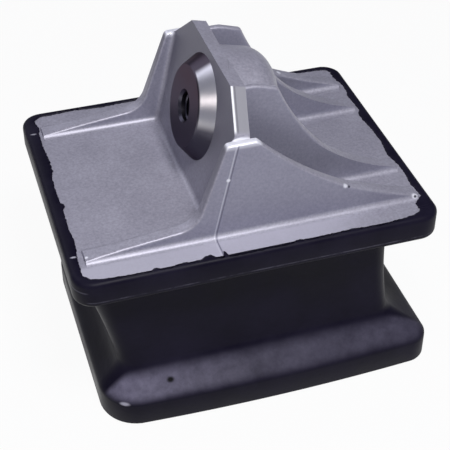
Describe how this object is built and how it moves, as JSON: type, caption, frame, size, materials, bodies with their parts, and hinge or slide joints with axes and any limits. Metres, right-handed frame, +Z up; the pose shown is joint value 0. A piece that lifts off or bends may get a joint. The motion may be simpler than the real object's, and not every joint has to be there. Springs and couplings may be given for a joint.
{
  "type": "engine mount",
  "caption": "Rubber-bonded engine mount: a ribbed aluminium saddle with a leaning tapped boss on a rubber block with a rim, a waisted neck and a sloped base flange.",
  "frame": {"origin": "on the resting face, in the middle of the outline", "axes": "+Z up from the resting face; +X along the mount, with the tapped bush facing -X; +Y across it, from one outer wall to the other"},
  "size_m": [0.2136, 0.1666, 0.1938],
  "materials": {
    "cast_aluminium": "as cast, satin",
    "bush_steel": "turned, dull",
    "black_rubber": "moulded, satin",
    "plate_steel": "painted black"
  },
  "bodies": {
    "root": {"saddle_casting": "cast_aluminium", "threaded_bush": "bush_steel", "rubber_body": "black_rubber", "base_plate": "plate_steel"}
  },
  "joints": []
}
